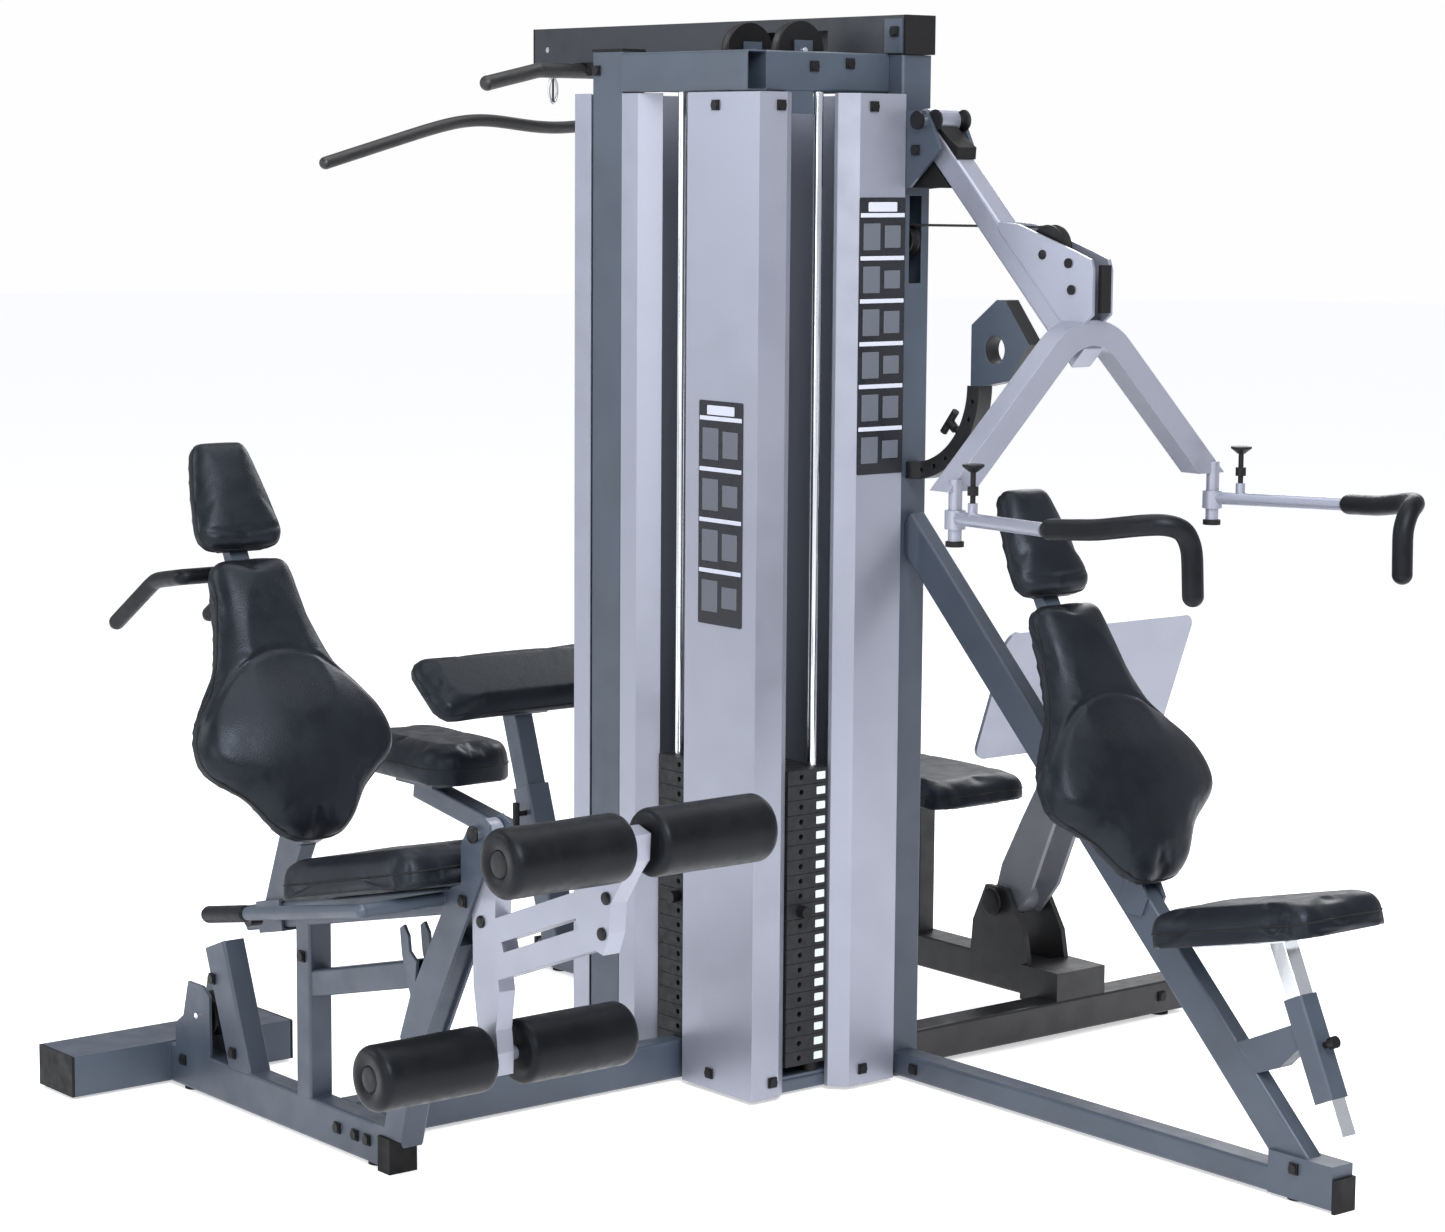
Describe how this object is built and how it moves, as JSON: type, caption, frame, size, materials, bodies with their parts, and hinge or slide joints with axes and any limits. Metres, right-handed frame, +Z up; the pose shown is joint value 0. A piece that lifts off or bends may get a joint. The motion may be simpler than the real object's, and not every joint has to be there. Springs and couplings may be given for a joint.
{
  "type": "multi station home gym",
  "caption": "Free-standing multi station gym: covered weight tower with press, leg, lat pulldown, arm curl and leg press stations around it.",
  "frame": {"origin": "on the floor at the centre of the weight tower", "axes": "+Z up; +X towards the press station; -Y towards the leg station; -X towards the lat pulldown station; +Y towards the leg press"},
  "size_m": [3.0298, 2.296, 2.107],
  "materials": {
    "slate_paint": "satin",
    "silver_paint": "satin",
    "beam_paint": "satin",
    "dark_paint": "satin",
    "grey_paint": "satin",
    "chrome": "polished",
    "cast_iron": "matte",
    "rubber": "matte",
    "plastic": "matte",
    "foam": "matte",
    "vinyl": "satin"
  },
  "bodies": {
    "frame": {"tower_base": "slate_paint", "left_upright": "slate_paint", "right_upright": "slate_paint", "top_frame": "slate_paint", "pulley_beam": "beam_paint", "corner_column": "silver_paint", "left_covers": "silver_paint", "right_covers": "silver_paint", "guide_rods": "chrome", "tube_caps": "rubber", "bolt_caps": "plastic", "rubber_stops": "rubber", "rest_plates": "cast_iron", "pivot_bracket": "slate_paint", "pivot_axles": "chrome", "press_frame": "slate_paint", "range_guide": "dark_paint", "leg_frame": "slate_paint", "leg_seat": "vinyl", "lat_frame": "slate_paint", "lat_seat": "vinyl", "chin_bar": "dark_paint", "leg_press_frame": "dark_paint", "leg_press_pads": "vinyl"},
    "left_stack": {"left_lifted_stack": "cast_iron"},
    "left_selector": {"left_pin": "plastic"},
    "right_stack": {"right_lifted_stack": "cast_iron"},
    "right_selector": {"right_pin": "plastic"},
    "left_stack_sheave": {"left_stack_pulley": "plastic"},
    "right_stack_sheave": {"right_stack_pulley": "plastic"},
    "lat_sheave": {"lat_pulley": "plastic"},
    "slot_sheave": {"slot_pulley": "plastic"},
    "arm_sheave": {"arm_pulley": "plastic"},
    "low_sheave": {"low_pulley": "plastic"},
    "press_lever": {"press_arm": "silver_paint", "arm_bumpers": "rubber"},
    "left_handlebar": {"left_handle": "silver_paint", "left_grip": "foam"},
    "right_handlebar": {"right_handle": "silver_paint", "right_grip": "foam"},
    "left_lock": {"left_pop_pin": "plastic"},
    "right_lock": {"right_pop_pin": "plastic"},
    "press_saddle": {"press_seat_post": "chrome", "press_seat": "vinyl"},
    "press_saddle_lock": {"press_seat_pin": "plastic"},
    "press_backrest": {"press_back_bracket": "slate_paint", "press_back_pads": "vinyl"},
    "range_lock": {"range_knob": "plastic"},
    "leg_backrest": {"leg_back_bracket": "slate_paint", "leg_back_pads": "vinyl"},
    "leg_backrest_lock": {"leg_back_knob": "plastic"},
    "leg_swing": {"leg_lever": "silver_paint"},
    "upper_foam": {"upper_rollers": "foam"},
    "lower_foam": {"lower_rollers": "foam"},
    "curl_support": {"curl_post": "slate_paint", "curl_pad": "vinyl"},
    "curl_lock": {"curl_knob": "plastic"},
    "pulldown_bar": {"lat_bar": "dark_paint"},
    "foot_swing": {"leg_press_arm": "grey_paint", "footplate": "silver_paint"}
  },
  "joints": [
    {"name": "press_arm_pivot", "type": "hinge", "parent": "frame", "child": "press_lever", "pos_m": [0.35, 0.17, 1.905], "axis": [0, -1, 0], "range_deg": [0, 50]},
    {"name": "left_handle_swing", "type": "hinge", "parent": "press_lever", "child": "left_handlebar", "pos_m": [0.775, -0.165, 1.19], "axis": [0, 0, 1], "range_deg": [-30, 15]},
    {"name": "right_handle_swing", "type": "hinge", "parent": "press_lever", "child": "right_handlebar", "pos_m": [0.775, 0.505, 1.19], "axis": [0, 0, 1], "range_deg": [-15, 30]},
    {"name": "left_pop_pull", "type": "slide", "parent": "left_handlebar", "child": "left_lock", "axis": [0, 0, 1], "range_m": [0, 0.012]},
    {"name": "right_pop_pull", "type": "slide", "parent": "right_handlebar", "child": "right_lock", "axis": [0, 0, 1], "range_m": [0, 0.012]},
    {"name": "right_stack_lift", "type": "slide", "parent": "frame", "child": "right_stack", "axis": [0, 0, 1], "range_m": [0, 0.45]},
    {"name": "right_selector_pull", "type": "slide", "parent": "right_stack", "child": "right_selector", "axis": [1, 0, 0], "range_m": [0, 0.06]},
    {"name": "right_stack_sheave_turn", "type": "hinge", "parent": "frame", "child": "right_stack_sheave", "pos_m": [0.1695, -0.038, 2.036], "axis": [1, 0, 0], "range_deg": [0, 540]},
    {"name": "slot_sheave_turn", "type": "hinge", "parent": "frame", "child": "slot_sheave", "pos_m": [0.256, 0.17, 1.675], "axis": [0, 1, 0], "range_deg": [0, 620]},
    {"name": "arm_sheave_turn", "type": "hinge", "parent": "press_lever", "child": "arm_sheave", "pos_m": [0.665, 0.17, 1.667], "axis": [0, 1, 0], "range_deg": [0, 420]},
    {"name": "leg_lever_pivot", "type": "hinge", "parent": "frame", "child": "leg_swing", "pos_m": [0.51, -1.005, 0.67], "axis": [0, -1, 0], "range_deg": [0, 90]},
    {"name": "upper_roller_turn", "type": "hinge", "parent": "leg_swing", "child": "upper_foam", "pos_m": [0.92, -1.005, 0.713], "axis": [0, 1, 0], "continuous": true},
    {"name": "lower_roller_turn", "type": "hinge", "parent": "leg_swing", "child": "lower_foam", "pos_m": [0.54, -1.005, 0.281], "axis": [0, 1, 0], "continuous": true},
    {"name": "left_stack_lift", "type": "slide", "parent": "frame", "child": "left_stack", "axis": [0, 0, 1], "range_m": [0, 0.45]},
    {"name": "left_selector_pull", "type": "slide", "parent": "left_stack", "child": "left_selector", "axis": [0, -1, 0], "range_m": [0, 0.06]},
    {"name": "left_stack_sheave_turn", "type": "hinge", "parent": "frame", "child": "left_stack_sheave", "pos_m": [0.016, -0.038, 2.036], "axis": [1, 0, 0], "range_deg": [0, 540]},
    {"name": "low_sheave_turn", "type": "hinge", "parent": "frame", "child": "low_sheave", "pos_m": [-0.443, -1.005, 0.16], "axis": [0, 1, 0], "continuous": true},
    {"name": "press_seat_height", "type": "slide", "parent": "frame", "child": "press_saddle", "axis": [-0.4226, 0, 0.9063], "range_m": [-0.01, 0.08]},
    {"name": "press_seat_pin_pull", "type": "slide", "parent": "frame", "child": "press_saddle_lock", "axis": [0.9063, 0, 0.4226], "range_m": [0, 0.012]},
    {"name": "press_back_tilt", "type": "hinge", "parent": "frame", "child": "press_backrest", "pos_m": [0.9421, 0.17, 0.52357], "axis": [0, 1, 0], "range_deg": [-6, 3]},
    {"name": "range_knob_pull", "type": "slide", "parent": "frame", "child": "range_lock", "axis": [-0.7771, 0, 0.6293], "range_m": [0, 0.012]},
    {"name": "leg_back_slide", "type": "slide", "parent": "frame", "child": "leg_backrest", "axis": [0.9763, 0, 0.2164], "range_m": [-0.04, 0.02]},
    {"name": "leg_back_knob_pull", "type": "slide", "parent": "leg_backrest", "child": "leg_backrest_lock", "axis": [0, -1, 0], "range_m": [0, 0.012]},
    {"name": "curl_pad_height", "type": "slide", "parent": "frame", "child": "curl_support", "axis": [-0.3206, 0, 0.9472], "range_m": [-0.05, 0.1]},
    {"name": "curl_knob_pull", "type": "slide", "parent": "frame", "child": "curl_lock", "axis": [0, -1, 0], "range_m": [0, 0.012]},
    {"name": "lat_bar_pull", "type": "slide", "parent": "frame", "child": "pulldown_bar", "axis": [0, 0, -1], "range_m": [0, 0.75]},
    {"name": "lat_sheave_turn", "type": "hinge", "parent": "frame", "child": "lat_sheave", "pos_m": [-0.884, 0.17, 2.0615], "axis": [0, 1, 0], "range_deg": [0, 900]},
    {"name": "leg_press_pivot", "type": "hinge", "parent": "frame", "child": "foot_swing", "pos_m": [0.06, 0.69, 0.26], "axis": [0, 1, 0], "range_deg": [0, 30]}
  ],
  "couplings": [
    {"joint": "right_stack_lift", "follows": "press_arm_pivot", "m_per_rad": 0.515},
    {"joint": "right_stack_sheave_turn", "follows": "press_arm_pivot", "ratio": 10.4},
    {"joint": "slot_sheave_turn", "follows": "press_arm_pivot", "ratio": 12},
    {"joint": "arm_sheave_turn", "follows": "press_arm_pivot", "ratio": 8},
    {"joint": "left_stack_lift", "follows": "leg_lever_pivot", "m_per_rad": 0.286},
    {"joint": "left_stack_sheave_turn", "follows": "leg_lever_pivot", "ratio": 5.8},
    {"joint": "lat_sheave_turn", "follows": "lat_bar_pull", "rad_per_m": 20}
  ]
}
